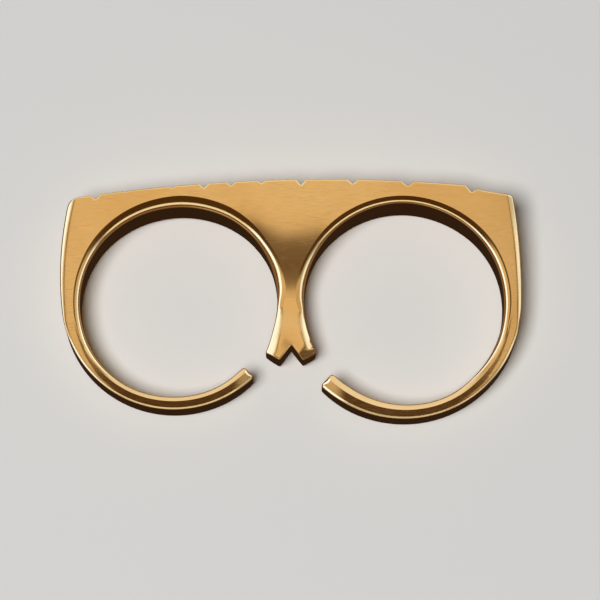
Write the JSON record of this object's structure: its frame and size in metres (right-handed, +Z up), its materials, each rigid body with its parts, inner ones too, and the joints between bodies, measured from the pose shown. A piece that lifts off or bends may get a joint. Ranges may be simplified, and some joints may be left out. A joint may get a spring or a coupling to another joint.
{
  "type": "two finger ring",
  "caption": "Two finger ring in polished gold tone metal: a thick arched bar with filed grooves joins open-ended finger holes either side of a forked post.",
  "frame": {"origin": "on the ground under the middle of the ring's bounding box, the ring lying on its back face", "axes": "+X along the bar from the smaller hole to the larger one, +Y from the shanks towards the bar, +Z up along the fingers"},
  "size_m": [0.0434, 0.0228, 0.0063],
  "materials": {
    "polished_gold": "warm yellow gold plate, satin faces with polished rims and edges"
  },
  "bodies": {
    "root": {"ring_body": "polished_gold"}
  },
  "joints": []
}
